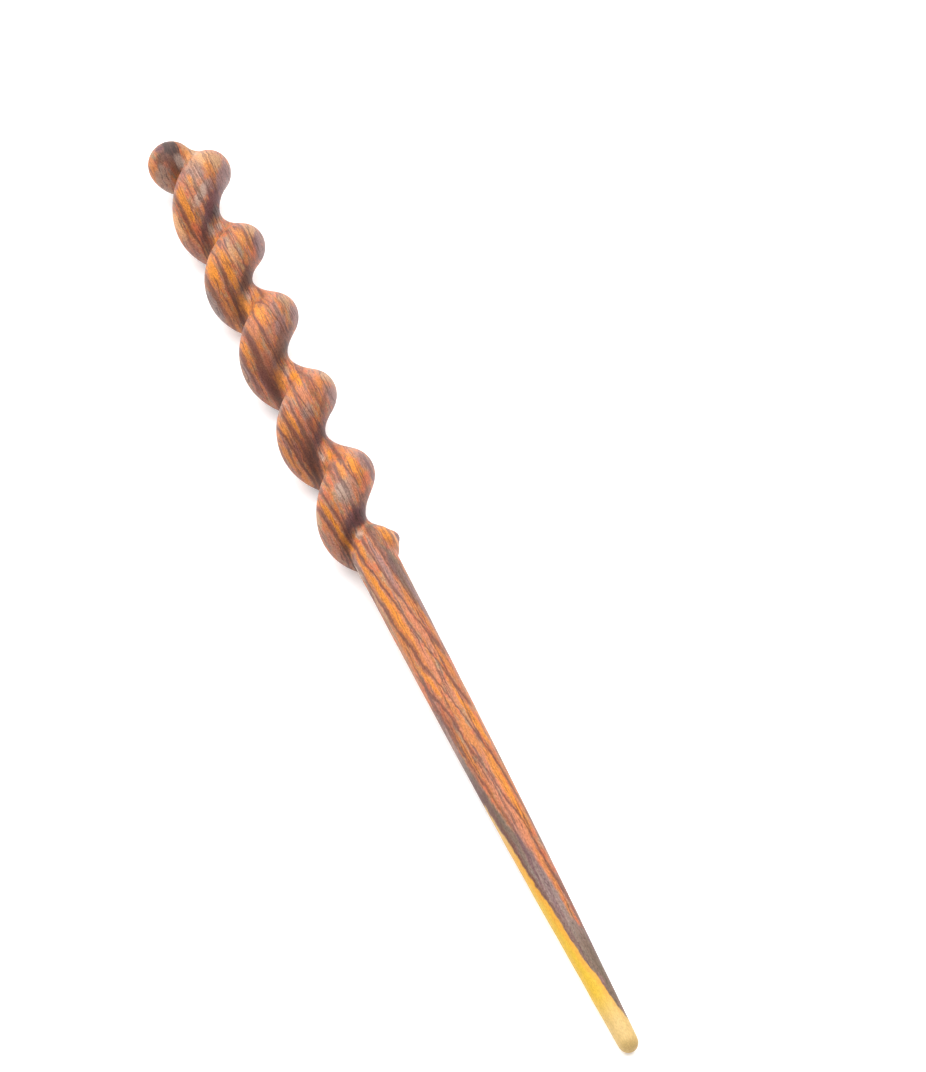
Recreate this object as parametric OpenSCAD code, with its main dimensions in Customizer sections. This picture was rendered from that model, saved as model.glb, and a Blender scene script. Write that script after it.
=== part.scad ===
// Hair stick carved from one length of hard wood: a round knob, a handle cut
// as an open corkscrew, and a plain shaft that tapers to a blunt tip.
// The stick lies on z = 0 along X, with the knob at -X and the tip at +X.
// It rests on its first turn, its last turn and the tip.

/* [Stick] */
// Length from the knob's end to the tip's end
stick_length = 180; // [170:1:190]

/* [Corkscrew handle] */
// Thickness of the carved strand at the knob
strand_d = 7.4; // [6.8:0.1:7.8]
// Thickness of the strand in the last turn
last_turn_d = 7.2; // [6.8:0.1:7.6]
// How far the strand's centre swings out from the handle's axis
swing = 2.25; // [1.8:0.05:2.4]
// Angle by which the handle leans sideways from the shaft
lean = 2.5; // [0:0.1:3]
// How much the middle of the handle bows up
bow = 0.3; // [0.1:0.05:0.5]
// How far the last turn's point stands out past the shaft
point_height = 2.5; // [1.6:0.1:2.8]

/* [Shaft] */
// Thickness where the shaft leaves the handle
shoulder_d = 6.2; // [5.4:0.1:6.6]
// Thickness of the shaft just before the tip
tip_d = 2.8; // [2.2:0.1:3.4]

/* [Surface] */
// Flat sides around the stick
sides = 24; // [16:2:28]
// Distance between the rings of the handle
ring_gap = 0.85; // [0.8:0.05:1.5]

/* [Hidden] */

// Columns of the half turns' table
run = 0;
swing_part = 1;

// Half turns of the strand, from the knob on: how far along the stick each
// runs, and the part of the full swing that the strand has at its end
half_turns = [
    [4.0, 1.08],
    [9.2, 1.00],
    [8.0, 0.96],
    [7.7, 1.03],
    [8.2, 0.90],
    [8.4, 1.04],
    [8.8, 0.96],
    [8.1, 1.00],
    [8.6, 0.94],
    [8.7, 0.94],
    [7.2, 1.00]
];

// Columns of the shaft's table
place = 0;
thick = 1;

// Shaft: part of the way from the shoulder to the tip, and the part of the
// difference between the shoulder's and the tip's thickness that is left there
shaft_rows = [
    [0.00, 1.00],
    [0.20, 0.90],
    [0.42, 0.76],
    [0.62, 0.56],
    [0.82, 0.27],
    [1.00, 0.00]
];

strand_r = strand_d / 2;
shoulder_r = shoulder_d / 2;
tip_r = tip_d / 2;
turn_count = len(half_turns);

// The first half turn starts at the knob, on the left
first_phase = 180;

// Where each half turn starts, and where the last one ends
function run_sum(count) = count == 0 ? strand_r : run_sum(count - 1) + half_turns[count - 1][run];
starts = [for (k = [0 : turn_count]) run_sum(k)];
swings = concat([swing], [for (row = half_turns) swing * row[swing_part]]);

// Cubic between the values b and c, smooth with their neighbours a and d
function blend(a, b, c, d, t) =
    b + t * ((c - a) / 2 + t * ((a - 2.5 * b + 2 * c - d / 2) + t * (1.5 * (b - c) + (d - a) / 2)));

// Value number w of a list, read smoothly between its entries
function read_list(list, w) =
    let (last = len(list) - 1,
         k = min(floor(w), last - 1),
         b = list[k],
         c = list[k + 1],
         a = k == 0 ? 2 * b - c : list[k - 1],
         d = k == last - 1 ? 2 * c - b : list[k + 2])
    blend(a, b, c, d, w - k);

// Smooth step from 0 at low to 1 at high
function ease(low, high, value) =
    let (t = max(0, min(1, (value - low) / (high - low)))) t * t * (3 - 2 * t);

// Thickness left of the shaft at a place from 0 to 1
thick_rows = [for (row = shaft_rows) row[thick]];
function row_number(q, k = 0) =
    k >= len(shaft_rows) - 2 || q < shaft_rows[k + 1][place]
        ? k + (q - shaft_rows[k][place]) / (shaft_rows[k + 1][place] - shaft_rows[k][place])
        : row_number(q, k + 1);
function shaft_radius(q) = tip_r + (shoulder_r - tip_r) * read_list(thick_rows, row_number(q));

// A ball is [x, y, z, radius], measured from the stick's own axis.
// The stick is the skin round all its balls.
function strand_ball(w, out, radius) =
    let (phase = first_phase + 180 * w)
    [read_list(starts, w), out * cos(phase), out * sin(phase), radius];

// The strand starts shallow behind the knob, and runs into the shaft at its end
ball_step = 1 / 16;
knob_dip = 0.5;
fade_start = 10.5;
fade_end = 11.1;
function strand_radius(w) = (strand_d + (last_turn_d - strand_d) * w / turn_count) / 2;
strand_balls = [
    for (w = [0 : ball_step : turn_count])
        let (fade = ease(fade_start, fade_end, w),
             dip = w < 1 ? knob_dip * sin(180 * w) : 0)
        strand_ball(w, read_list(swings, w) * (1 - fade) * (1 - dip), strand_radius(w) * (1 - fade) + shoulder_r * fade)
];

// The point: the strand thins out towards it on the right, and a short ridge
// runs from it down to the shaft
point_start = 10.2;
point_phase = first_phase + 180 * 10.9;
point_x = starts[turn_count - 1] + 4;
point_r = 1.2;
point_out = shoulder_r + point_height - point_r;
ridge_run = 3.5;
point_steps = 12;
function mix(a, b, t) = a + (b - a) * t;
point_balls = [
    for (k = [0 : point_steps])
        let (t = k / point_steps,
             phase = mix(first_phase + 180 * point_start, point_phase, t),
             out = mix(read_list(swings, point_start), point_out, t))
        [mix(read_list(starts, point_start), point_x, t), out * cos(phase), out * sin(phase),
         mix(strand_radius(point_start), point_r, t)]
];
ridge_balls = [
    for (k = [0 : point_steps])
        let (t = k / point_steps,
             out = mix(point_out, shoulder_r - point_r, t))
        [point_x + ridge_run * t, out * cos(point_phase), out * sin(point_phase), point_r]
];

shaft_start = starts[turn_count];
shaft_run = stick_length - tip_r - shaft_start;
shaft_steps = 90;
shaft_balls = [
    for (k = [0 : shaft_steps])
        let (q = k / shaft_steps)
        [shaft_start + q * shaft_run, 0, 0, shaft_radius(q)]
];
balls = concat(strand_balls, point_balls, ridge_balls, shaft_balls);

// A ring's middle is the knob's own at the stick's end, and the axis past it
function ring_y(x) = -swings[0] * (1 - ease(0, strand_r, x));

// How far out from the ring's middle the skin lies at place x, towards angle
function reach(ball, x, angle) =
    let (y = ball.y - ring_y(x),
         along = y * cos(angle) + ball.z * sin(angle),
         across = ball.z * cos(angle) - y * sin(angle),
         square = ball[3] * ball[3] - (x - ball.x) * (x - ball.x) - across * across)
    square > 0 ? along + sqrt(square) : 0;

// One flat side of each ring faces down, for the stick to rest on. The middle of
// a flat side lies this part of the radius out
down = 270;
flat_part = cos(180 / sides);

// The handle's lowest places are level at its first and last turn and a little
// higher between them, and the shaft slopes down until the tip rests too
first_low = read_list(starts, 2.5);
last_low = read_list(starts, 10.5);
first_height = (read_list(swings, 2.5) + strand_radius(2.5)) * flat_part;
last_height = (read_list(swings, 10.5) + strand_radius(10.5)) * flat_part;
shaft_fall = (last_height - tip_r * flat_part) / (stick_length - tip_r - last_low);
lean_start = shaft_start - 4;
function axis_y(x) = max(0, lean_start - x) * tan(lean);
function axis_z(x) =
    let (t = (x - first_low) / (last_low - first_low))
    t < 1 ? mix(first_height, last_height, t) + bow * sin(180 * max(0, t))
          : last_height - (x - last_low) * shaft_fall;

// Places of the rings: close together where the two ends round off
cap_steps = 5;
handle_rings = ceil((shaft_start - strand_r) / ring_gap);
shaft_rings = 36;
ring_places = concat(
    [for (k = [1 : cap_steps]) strand_r * (1 - cos(90 * k / (cap_steps + 1)))],
    [for (k = [0 : handle_rings - 1]) strand_r + k * (shaft_start - strand_r) / handle_rings],
    [for (k = [0 : shaft_rings]) shaft_start + k * shaft_run / shaft_rings],
    [for (k = [cap_steps : -1 : 1]) stick_length - tip_r * (1 - cos(90 * k / (cap_steps + 1)))]
);

function ring(x) =
    let (near = [for (ball = balls) if (abs(ball.x - x) < ball[3]) ball])
    [for (k = [0 : sides - 1])
        let (angle = down + 360 * (k + 0.5) / sides,
             out = max([for (ball = near) reach(ball, x, angle)]))
        [x, axis_y(x) + ring_y(x) + out * cos(angle), axis_z(x) + out * sin(angle)]];

// The skin's points: the knob's end, the rings, and the tip's end
ring_count = len(ring_places);
skin_points = concat(
    [[0, axis_y(0) + ring_y(0), axis_z(0)]],
    [for (x = ring_places) each ring(x)],
    [[stick_length, axis_y(stick_length), axis_z(stick_length)]]
);
tip_point = len(skin_points) - 1;

knob_fan = [for (k = [0 : sides - 1]) [0, 1 + k, 1 + (k + 1) % sides]];
skin_faces = [
    for (row = [0 : ring_count - 2], k = [0 : sides - 1])
        let (a = 1 + row * sides + k,
             b = 1 + row * sides + (k + 1) % sides)
        each [[a, a + sides, b], [b, a + sides, b + sides]]
];
tip_fan = [
    for (k = [0 : sides - 1])
        [tip_point, tip_point - sides + (k + 1) % sides, tip_point - sides + k]
];

// The origin is under the middle of the stick's box
side_places = [for (point = skin_points) point.y];
heights = [for (point = skin_points) point.z];
middle_y = (min(side_places) + max(side_places)) / 2;

module stick() {
    color("peru")
    translate([-stick_length / 2, -middle_y, -min(heights)])
    polyhedron(skin_points, concat(knob_fan, skin_faces, tip_fan));
}

stick();
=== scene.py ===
import math
from functools import partial

import bpy
from mathutils import Matrix, Vector


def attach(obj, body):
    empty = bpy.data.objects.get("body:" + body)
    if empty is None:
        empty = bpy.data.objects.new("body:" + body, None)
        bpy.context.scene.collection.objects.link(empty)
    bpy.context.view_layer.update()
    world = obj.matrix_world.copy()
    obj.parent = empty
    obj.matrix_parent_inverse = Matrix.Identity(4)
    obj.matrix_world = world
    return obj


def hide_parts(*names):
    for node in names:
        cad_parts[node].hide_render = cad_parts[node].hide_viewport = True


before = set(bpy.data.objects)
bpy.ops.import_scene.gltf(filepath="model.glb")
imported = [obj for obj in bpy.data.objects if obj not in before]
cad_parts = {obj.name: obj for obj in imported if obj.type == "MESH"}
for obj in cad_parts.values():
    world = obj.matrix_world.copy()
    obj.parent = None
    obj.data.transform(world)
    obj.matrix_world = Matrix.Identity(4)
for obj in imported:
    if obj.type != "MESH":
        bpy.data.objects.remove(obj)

# One carved hair stick on a pale floor: its skin is wrapped by Geometry Nodes round the
# strand's path, and its wood is a solid texture whose veins run through the stick.

mm = 0.001
scene = bpy.context.scene
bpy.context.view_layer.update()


# Camera
shot = {
    "lookAt": (-2.55 * mm, 13.11 * mm, 0.0),  # the floor in the middle of the picture
    "heading": 67.18,                         # degrees that the view turns from +Y towards -X
    "height": 48.0,                           # degrees above the floor
    "distance": 620 * mm,
    "lens": 144.26,                           # mm
    "film": 36.0,                             # mm, along the picture's height
}


def makeCamera():
    turn, rise = math.radians(shot["heading"]), math.radians(shot["height"])
    ahead = Vector((-math.sin(turn), math.cos(turn), 0))
    view = ahead * math.cos(rise) - Vector((0, 0, math.sin(rise)))
    camera = bpy.data.objects.new("camera", bpy.data.cameras.new("camera"))
    camera.data.lens = shot["lens"]
    camera.data.sensor_fit = "VERTICAL"
    camera.data.sensor_height = shot["film"]
    camera.location = Vector(shot["lookAt"]) - view * shot["distance"]
    camera.rotation_euler = view.to_track_quat("-Z", "Y").to_euler()
    scene.collection.objects.link(camera)
    scene.camera = camera


makeCamera()
print("camera ready")


# Node helpers, for materials and Geometry Nodes alike

def addNode(tree, kind, inputs=None, **settings):
    node = tree.nodes.new(kind)
    for name, value in settings.items():
        setattr(node, name, value)
    for name, value in (inputs or {}).items():
        plug(tree, node.inputs[name], value)
    return node


def plug(tree, socket, value):
    if isinstance(value, bpy.types.NodeSocket):
        tree.links.new(value, socket)
    else:
        socket.default_value = value


def calc(tree, operation, *values):
    return addNode(tree, "ShaderNodeMath", dict(enumerate(values)), operation=operation).outputs[0]


def calcVector(tree, operation, *values):
    return addNode(tree, "ShaderNodeVectorMath", dict(enumerate(values)), operation=operation).outputs[0]


def smoothStep(tree, value, low, high):
    node = addNode(tree, "ShaderNodeMapRange", interpolation_type="SMOOTHSTEP", clamp=False)
    for name, number in (("Value", value), ("From Min", low), ("From Max", high)):
        plug(tree, node.inputs[name], number)
    return node.outputs["Result"]


def newGroup(name, kind, inputs, outputs):
    group = bpy.data.node_groups.new(name, kind)
    for direction, sockets in (("INPUT", inputs), ("OUTPUT", outputs)):
        for label, socketKind in sockets.items():
            group.interface.new_socket(name=label, in_out=direction, socket_type="NodeSocket" + socketKind)
    return group, addNode(group, "NodeGroupInput").outputs, addNode(group, "NodeGroupOutput").inputs


# The stick's shape, measured from the knob's end along its own axis
stick = {
    "length": 180 * mm,
    "strandRadius": 3.7 * mm,      # at the knob
    "lastTurnRadius": 3.6 * mm,
    "swing": 2.25 * mm,            # how far the strand's middle swings out from the axis
    "halfTurns": [                 # run in mm, part of the full swing at its end
        (4.0, 1.08), (9.2, 1.00), (8.0, 0.96), (7.7, 1.03), (8.2, 0.90), (8.4, 1.04),
        (8.8, 0.96), (8.1, 1.00), (8.6, 0.94), (8.7, 0.94), (7.2, 1.00),
    ],
    "knobDip": 0.5,                # how shallow the first half turn stays
    "fade": (10.5, 11.1),          # half turns between which the strand runs into the shaft
    "pointStart": 10.2,            # half turn where the point leaves the strand
    "pointPhase": 10.9,
    "pointRun": 4 * mm,            # from the last half turn's start to the point
    "pointRadius": 1.2 * mm,
    "pointHeight": 2.5 * mm,       # past the shaft
    "ridgeRun": 3.5 * mm,
    "shoulderRadius": 3.1 * mm,
    "tipRadius": 1.4 * mm,
    "shaftTaper": [1.00, 0.905, 0.775, 0.585, 0.30, 0.00],  # at even steps, shoulder to tip
    "lean": 2.5,                   # degrees that the handle leans sideways
    "leanEnd": 4 * mm,             # the lean ends this far before the shaft
    "bow": 0.3 * mm,
    "restsOn": (2.5, 10.5),        # half turns whose undersides carry the handle
}

# How finely its core is stepped: along each path, round the tubes, and on the balls at their ends
steps = {
    "halfTurn": 48,
    "point": 40,
    "ridge": 30,
    "shaft": 120,
    "round": 160,
    "ballRings": 80,
}

# How finely its skin is wrapped, and the carver's marks on it
skin = {
    "Rings": 620,
    "Sides": 96,
    "Knob Rings": 18,
    "Tip Rings": 12,
    "Softening": 5,
    "Carving Depth": 0.10 * mm,
    "Carving Size": 5.5 * mm,
    "Seed": 4.0,
    # The three crease values below shape the mask of painted shade on the creases' tip-facing walls
    "Crease Reach": 40,
    "Crease Start": -0.22 * mm,
    "Crease Full": 0.02 * mm,
}


def readList(values, w):
    last = len(values) - 1
    k = min(int(w), last - 1)
    b, c = values[k], values[k + 1]
    a = values[k - 1] if k else 2 * b - c
    d = values[k + 2] if k < last - 1 else 2 * c - b
    t = w - k
    return b + t * ((c - a) / 2 + t * ((a - 2.5 * b + 2 * c - d / 2) + t * (1.5 * (b - c) + (d - a) / 2)))


def ease(low, high, value):
    t = max(0.0, min(1.0, (value - low) / (high - low)))
    return t * t * (3 - 2 * t)


def mix(a, b, t):
    return a + (b - a) * t


turns = len(stick["halfTurns"])
starts = [stick["strandRadius"]]
for run, part in stick["halfTurns"]:
    starts.append(starts[-1] + run * mm)
swings = [stick["swing"]] + [stick["swing"] * part for run, part in stick["halfTurns"]]
shaftStart = starts[-1]


def strandRadius(w):
    return mix(stick["strandRadius"], stick["lastTurnRadius"], w / turns)


def around(x, out, w, radius):
    phase = math.pi * (1 + w)  # the first half turn starts on the left
    return (x, out * math.cos(phase), out * math.sin(phase)), radius


def strandPath():
    rows = []
    for step in range(turns * steps["halfTurn"] + 1):
        w = step / steps["halfTurn"]
        fade = ease(*stick["fade"], w)
        dip = stick["knobDip"] * math.sin(math.pi * w) if w < 1 else 0
        out = readList(swings, w) * (1 - fade) * (1 - dip)
        radius = mix(strandRadius(w), stick["shoulderRadius"], fade)
        rows.append(around(readList(starts, w), out, w, radius))
    return rows


def pointPath():
    first, last, radius = stick["pointStart"], stick["pointPhase"], stick["pointRadius"]
    pointX = starts[-2] + stick["pointRun"]
    pointOut = stick["shoulderRadius"] + stick["pointHeight"] - radius
    rows = []
    for step in range(steps["point"] + 1):
        t = step / steps["point"]
        rows.append(around(mix(readList(starts, first), pointX, t), mix(readList(swings, first), pointOut, t),
                           mix(first, last, t), mix(strandRadius(first), radius, t)))
    for step in range(1, steps["ridge"] + 1):
        t = step / steps["ridge"]
        rows.append(around(pointX + stick["ridgeRun"] * t,
                           mix(pointOut, stick["shoulderRadius"] - radius, t), last, radius))
    return rows


def shaftPath():
    rows = []
    for step in range(steps["shaft"] + 1):
        t = step / steps["shaft"]
        x = mix(shaftStart, stick["length"] - stick["tipRadius"], t)
        left = readList(stick["shaftTaper"], t * (len(stick["shaftTaper"]) - 1))
        rows.append(((x, 0, 0), mix(stick["tipRadius"], stick["shoulderRadius"], left)))
    return rows


def pathObject(paths):
    points, edges, radii = [], [], []
    for path in paths:
        edges += [(len(points) + k, len(points) + k + 1) for k in range(len(path) - 1)]
        points += [place for place, radius in path]
        radii += [radius for place, radius in path]
    mesh = bpy.data.meshes.new("stickPaths")
    mesh.from_pydata(points, edges, [])
    mesh.attributes.new("thickness", "FLOAT", "POINT").data.foreach_set("value", radii)
    thing = bpy.data.objects.new("stickPaths", mesh)
    scene.collection.objects.link(thing)
    return thing


# Geometry Nodes: sweep the paths, then wrap one closed skin round them

def skinTree():
    numbers = ("Length", "Knob Radius", "Tip Radius", "Knob Side", "Carving Depth", "Carving Size", "Seed",
               "Crease Start", "Crease Full", "Lean", "Lean End", "First Low", "Last Low", "First Height",
               "Last Height", "Bow", "Shaft Fall")
    counts = ("Rings", "Sides", "Knob Rings", "Tip Rings", "Softening", "Crease Reach")
    inputs = {"Geometry": "Geometry", **dict.fromkeys(numbers, "Float"),
              **dict.fromkeys(counts, "Int"), "Wood": "Material"}
    tree, given, result = newGroup("wrapCarvedStick", "GeometryNodeTree", inputs, {"Geometry": "Geometry"})
    m = partial(calc, tree)
    v = partial(calcVector, tree)

    # Sweep a circle along each path, with a ball on every end
    thickness = addNode(tree, "GeometryNodeInputNamedAttribute", {"Name": "thickness"}).outputs["Attribute"]
    paths = addNode(tree, "GeometryNodeMeshToCurve", {"Mesh": given["Geometry"]}).outputs[0]
    circle = addNode(tree, "GeometryNodeCurvePrimitiveCircle",
                     {"Resolution": steps["round"], "Radius": 1.0}).outputs[0]
    tubes = addNode(tree, "GeometryNodeCurveToMesh",
                    {"Curve": paths, "Profile Curve": circle, "Scale": thickness})
    ball = addNode(tree, "GeometryNodeMeshUVSphere",
                   {"Segments": steps["round"], "Rings": steps["ballRings"], "Radius": 1.0}).outputs[0]
    ends = addNode(tree, "GeometryNodeCurveEndpointSelection", {"Start Size": 1, "End Size": 1}).outputs[0]
    balls = addNode(tree, "GeometryNodeInstanceOnPoints",
                    {"Points": paths, "Selection": ends, "Instance": ball, "Scale": thickness})
    core = addNode(tree, "GeometryNodeJoinGeometry")
    tree.links.new(tubes.outputs[0], core.inputs[0])
    tree.links.new(balls.outputs[0], core.inputs[0])
    core = addNode(tree, "GeometryNodeRealizeInstances", {"Geometry": core.outputs[0]}).outputs[0]

    # A plain tube of rings, closed by a fan at each end, gives the skin its points
    segments = m("SUBTRACT", given["Rings"], 1)
    rings = addNode(tree, "GeometryNodeMeshCylinder",
                    {"Vertices": given["Sides"], "Side Segments": segments, "Fill Segments": 1,
                     "Radius": 1.0, "Depth": 1.0}, fill_type="TRIANGLE_FAN").outputs["Mesh"]
    place = addNode(tree, "GeometryNodeInputPosition").outputs[0]
    split = addNode(tree, "ShaderNodeSeparateXYZ", {"Vector": place}).outputs
    ringNumber = m("ROUND", m("MULTIPLY", m("ADD", split["Z"], 0.5), segments))

    # Where each ring stands: even along the stick, and close together on the two round ends
    quarter = math.pi / 2
    knobPart = m("DIVIDE", m("ADD", ringNumber, 1), m("ADD", given["Knob Rings"], 1))
    knobDrop = m("SUBTRACT", 1, m("COSINE", m("MULTIPLY", knobPart, quarter)))
    knobX = m("MULTIPLY", knobDrop, given["Knob Radius"])
    tipPart = m("DIVIDE", m("SUBTRACT", given["Rings"], ringNumber), m("ADD", given["Tip Rings"], 1))
    tipDrop = m("SUBTRACT", 1, m("COSINE", m("MULTIPLY", tipPart, quarter)))
    tipX = m("SUBTRACT", given["Length"], m("MULTIPLY", tipDrop, given["Tip Radius"]))
    lastBody = m("SUBTRACT", segments, given["Tip Rings"])
    bodyPart = m("DIVIDE", m("SUBTRACT", ringNumber, given["Knob Rings"]),
                 m("SUBTRACT", lastBody, given["Knob Rings"]))
    bodyRun = m("SUBTRACT", m("SUBTRACT", given["Length"], given["Tip Radius"]), given["Knob Radius"])
    bodyX = m("MULTIPLY_ADD", bodyPart, bodyRun, given["Knob Radius"])
    isKnob = m("LESS_THAN", ringNumber, given["Knob Rings"])
    isTip = m("GREATER_THAN", ringNumber, lastBody)
    isBody = m("SUBTRACT", m("SUBTRACT", 1, isKnob), isTip)
    endX = m("ADD", m("MULTIPLY", knobX, isKnob), m("MULTIPLY", tipX, isTip))
    ringX = m("ADD", endX, m("MULTIPLY", bodyX, isBody))

    # A ring's middle is the knob's own at the stick's end, and the axis past it
    knobEase = smoothStep(tree, ringX, 0.0, given["Knob Radius"])
    middleY = m("MULTIPLY", given["Knob Side"], m("SUBTRACT", knobEase, 1))
    middle = addNode(tree, "ShaderNodeCombineXYZ", {"X": ringX, "Y": middleY}).outputs[0]
    angle = m("ARCTAN2", split["Y"], split["X"])
    outward = addNode(tree, "ShaderNodeCombineXYZ",
                      {"Y": m("COSINE", angle), "Z": m("SINE", angle)}).outputs[0]
    far = 12 * mm  # past any skin
    start = v("MULTIPLY_ADD", outward, (far, far, far), middle)
    inward = v("MULTIPLY", outward, (-1, -1, -1))
    hit = addNode(tree, "GeometryNodeRaycast", {
        "Target Geometry": core, "Source Position": start, "Ray Direction": inward, "Ray Length": far})
    onSkin = addNode(tree, "GeometryNodeSwitch", {
        "Switch": hit.outputs["Is Hit"], "False": middle, "True": hit.outputs["Hit Position"]},
        input_type="VECTOR").outputs[0]

    # The fans' middles are the two poles
    fromAxis = m("ADD", m("MULTIPLY", split["X"], split["X"]), m("MULTIPLY", split["Y"], split["Y"]))
    isRim = m("GREATER_THAN", fromAxis, 0.5)
    isTipPole = m("GREATER_THAN", split["Z"], 0)
    pole = addNode(tree, "ShaderNodeCombineXYZ", {
        "X": m("MULTIPLY", given["Length"], isTipPole),
        "Y": m("MULTIPLY", given["Knob Side"], m("SUBTRACT", isTipPole, 1))}).outputs[0]
    skinPlace = addNode(tree, "GeometryNodeSwitch", {"Switch": isRim, "False": pole, "True": onSkin},
                        input_type="VECTOR").outputs[0]
    wrapped = addNode(tree, "GeometryNodeSetPosition",
                      {"Geometry": rings, "Position": skinPlace}).outputs[0]

    # Soften the creases as sandpaper does, then leave the shallow marks of the knife
    soft = addNode(tree, "GeometryNodeBlurAttribute", {"Value": place, "Iterations": given["Softening"]},
                   data_type="FLOAT_VECTOR").outputs[0]
    wrapped = addNode(tree, "GeometryNodeSetPosition", {"Geometry": wrapped, "Position": soft}).outputs[0]
    marks = addNode(tree, "ShaderNodeTexNoise", {
        "Vector": place, "W": given["Seed"], "Scale": m("DIVIDE", 1, given["Carving Size"]),
        "Detail": 1.0, "Roughness": 0.4}, noise_dimensions="4D")
    depth = m("MULTIPLY", m("SUBTRACT", marks.outputs["Fac"], 0.5), given["Carving Depth"])
    normal = addNode(tree, "GeometryNodeInputNormal").outputs["Normal"]

    # How far a place lies in a crease, on the wall that faces the tip, kept as a mask of painted shade for
    # the wood's colour
    broad = addNode(tree, "GeometryNodeBlurAttribute", {"Value": place, "Iterations": given["Crease Reach"]},
                    data_type="FLOAT_VECTOR").outputs[0]
    raised = addNode(tree, "ShaderNodeVectorMath", {0: v("SUBTRACT", broad, place), 1: normal},
                     operation="DOT_PRODUCT").outputs["Value"]
    hollow = smoothStep(tree, raised, given["Crease Start"], given["Crease Full"])
    normalX = addNode(tree, "ShaderNodeSeparateXYZ", {"Vector": normal}).outputs["X"]
    facesTip = smoothStep(tree, normalX, 0.0, 0.45)
    wrapped = addNode(tree, "GeometryNodeStoreNamedAttribute",
                      {"Geometry": wrapped, "Name": "paintedCreaseShade", "Value": m("MULTIPLY", hollow, facesTip)},
                      data_type="FLOAT", domain="POINT").outputs[0]
    offset = addNode(tree, "ShaderNodeVectorMath", {0: normal, "Scale": depth}, operation="SCALE").outputs[0]
    wrapped = addNode(tree, "GeometryNodeSetPosition", {"Geometry": wrapped, "Offset": offset}).outputs[0]

    # Lean the handle sideways, and lay the whole stick on its first turn, last turn and tip
    now = split["X"]
    sideways = m("MULTIPLY", m("MAXIMUM", m("SUBTRACT", given["Lean End"], now), 0),
                 m("TANGENT", m("RADIANS", given["Lean"])))
    apart = m("SUBTRACT", given["Last Low"], given["First Low"])
    part = m("DIVIDE", m("SUBTRACT", now, given["First Low"]), apart)
    rise = m("SUBTRACT", given["Last Height"], given["First Height"])
    level = m("MULTIPLY_ADD", part, rise, given["First Height"])
    bowed = m("MULTIPLY_ADD", m("SINE", m("MULTIPLY", m("MAXIMUM", part, 0), math.pi)), given["Bow"], level)
    sloping = m("SUBTRACT", given["Last Height"],
                m("MULTIPLY", m("SUBTRACT", now, given["Last Low"]), given["Shaft Fall"]))
    onHandle = m("LESS_THAN", part, 1)
    lift = m("ADD", m("MULTIPLY", bowed, onHandle), m("MULTIPLY", sloping, m("SUBTRACT", 1, onHandle)))
    lay = addNode(tree, "ShaderNodeCombineXYZ", {"Y": sideways, "Z": lift}).outputs[0]
    laid = addNode(tree, "GeometryNodeSetPosition", {"Geometry": wrapped, "Offset": lay}).outputs[0]

    smooth = addNode(tree, "GeometryNodeSetShadeSmooth", {"Geometry": laid}).outputs[0]
    solid = addNode(tree, "GeometryNodeRealizeInstances", {"Geometry": smooth}).outputs[0]
    painted = addNode(tree, "GeometryNodeSetMaterial", {"Geometry": solid, "Material": given["Wood"]})
    tree.links.new(painted.outputs[0], result["Geometry"])
    return tree


def setInputs(modifier, values):
    for item in modifier.node_group.interface.items_tree:
        if item.item_type == "SOCKET" and item.in_out == "INPUT" and item.name in values:
            modifier[item.identifier] = values[item.name]


def makeStick(material):
    firstLow, lastLow = [readList(starts, w) for w in stick["restsOn"]]
    firstHeight, lastHeight = [readList(swings, w) + strandRadius(w) for w in stick["restsOn"]]
    sizes = {
        "Length": stick["length"],
        "Knob Radius": stick["strandRadius"],
        "Tip Radius": stick["tipRadius"],
        "Knob Side": stick["swing"],
        "Lean": stick["lean"],
        "Lean End": shaftStart - stick["leanEnd"],
        "First Low": firstLow,
        "Last Low": lastLow,
        "First Height": firstHeight,
        "Last Height": lastHeight,
        "Bow": stick["bow"],
        "Shaft Fall": (lastHeight - stick["tipRadius"]) / (stick["length"] - stick["tipRadius"] - lastLow),
        "Wood": material,
    }
    sizes.update(skin)
    source = pathObject([strandPath(), pointPath(), shaftPath()])
    wrap = source.modifiers.new("wrap", "NODES")
    wrap.node_group = skinTree()
    setInputs(wrap, sizes)
    bpy.context.view_layer.update()
    made = bpy.data.meshes.new_from_object(source.evaluated_get(bpy.context.evaluated_depsgraph_get()))
    made.name = "stickWood"
    bpy.data.objects.remove(source)
    # Into the shared frame: under the middle of the box, on the floor
    low, high = [[pick(point.co[k] for point in made.vertices) for k in range(3)] for pick in (min, max)]
    made.transform(Matrix.Translation((-stick["length"] / 2, -(low[1] + high[1]) / 2, -low[2])))
    piece = bpy.data.objects.new("stickWood", made)
    scene.collection.objects.link(piece)
    print("stick wrapped:", len(made.vertices), "points,", len(made.polygons), "faces")
    return piece


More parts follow.
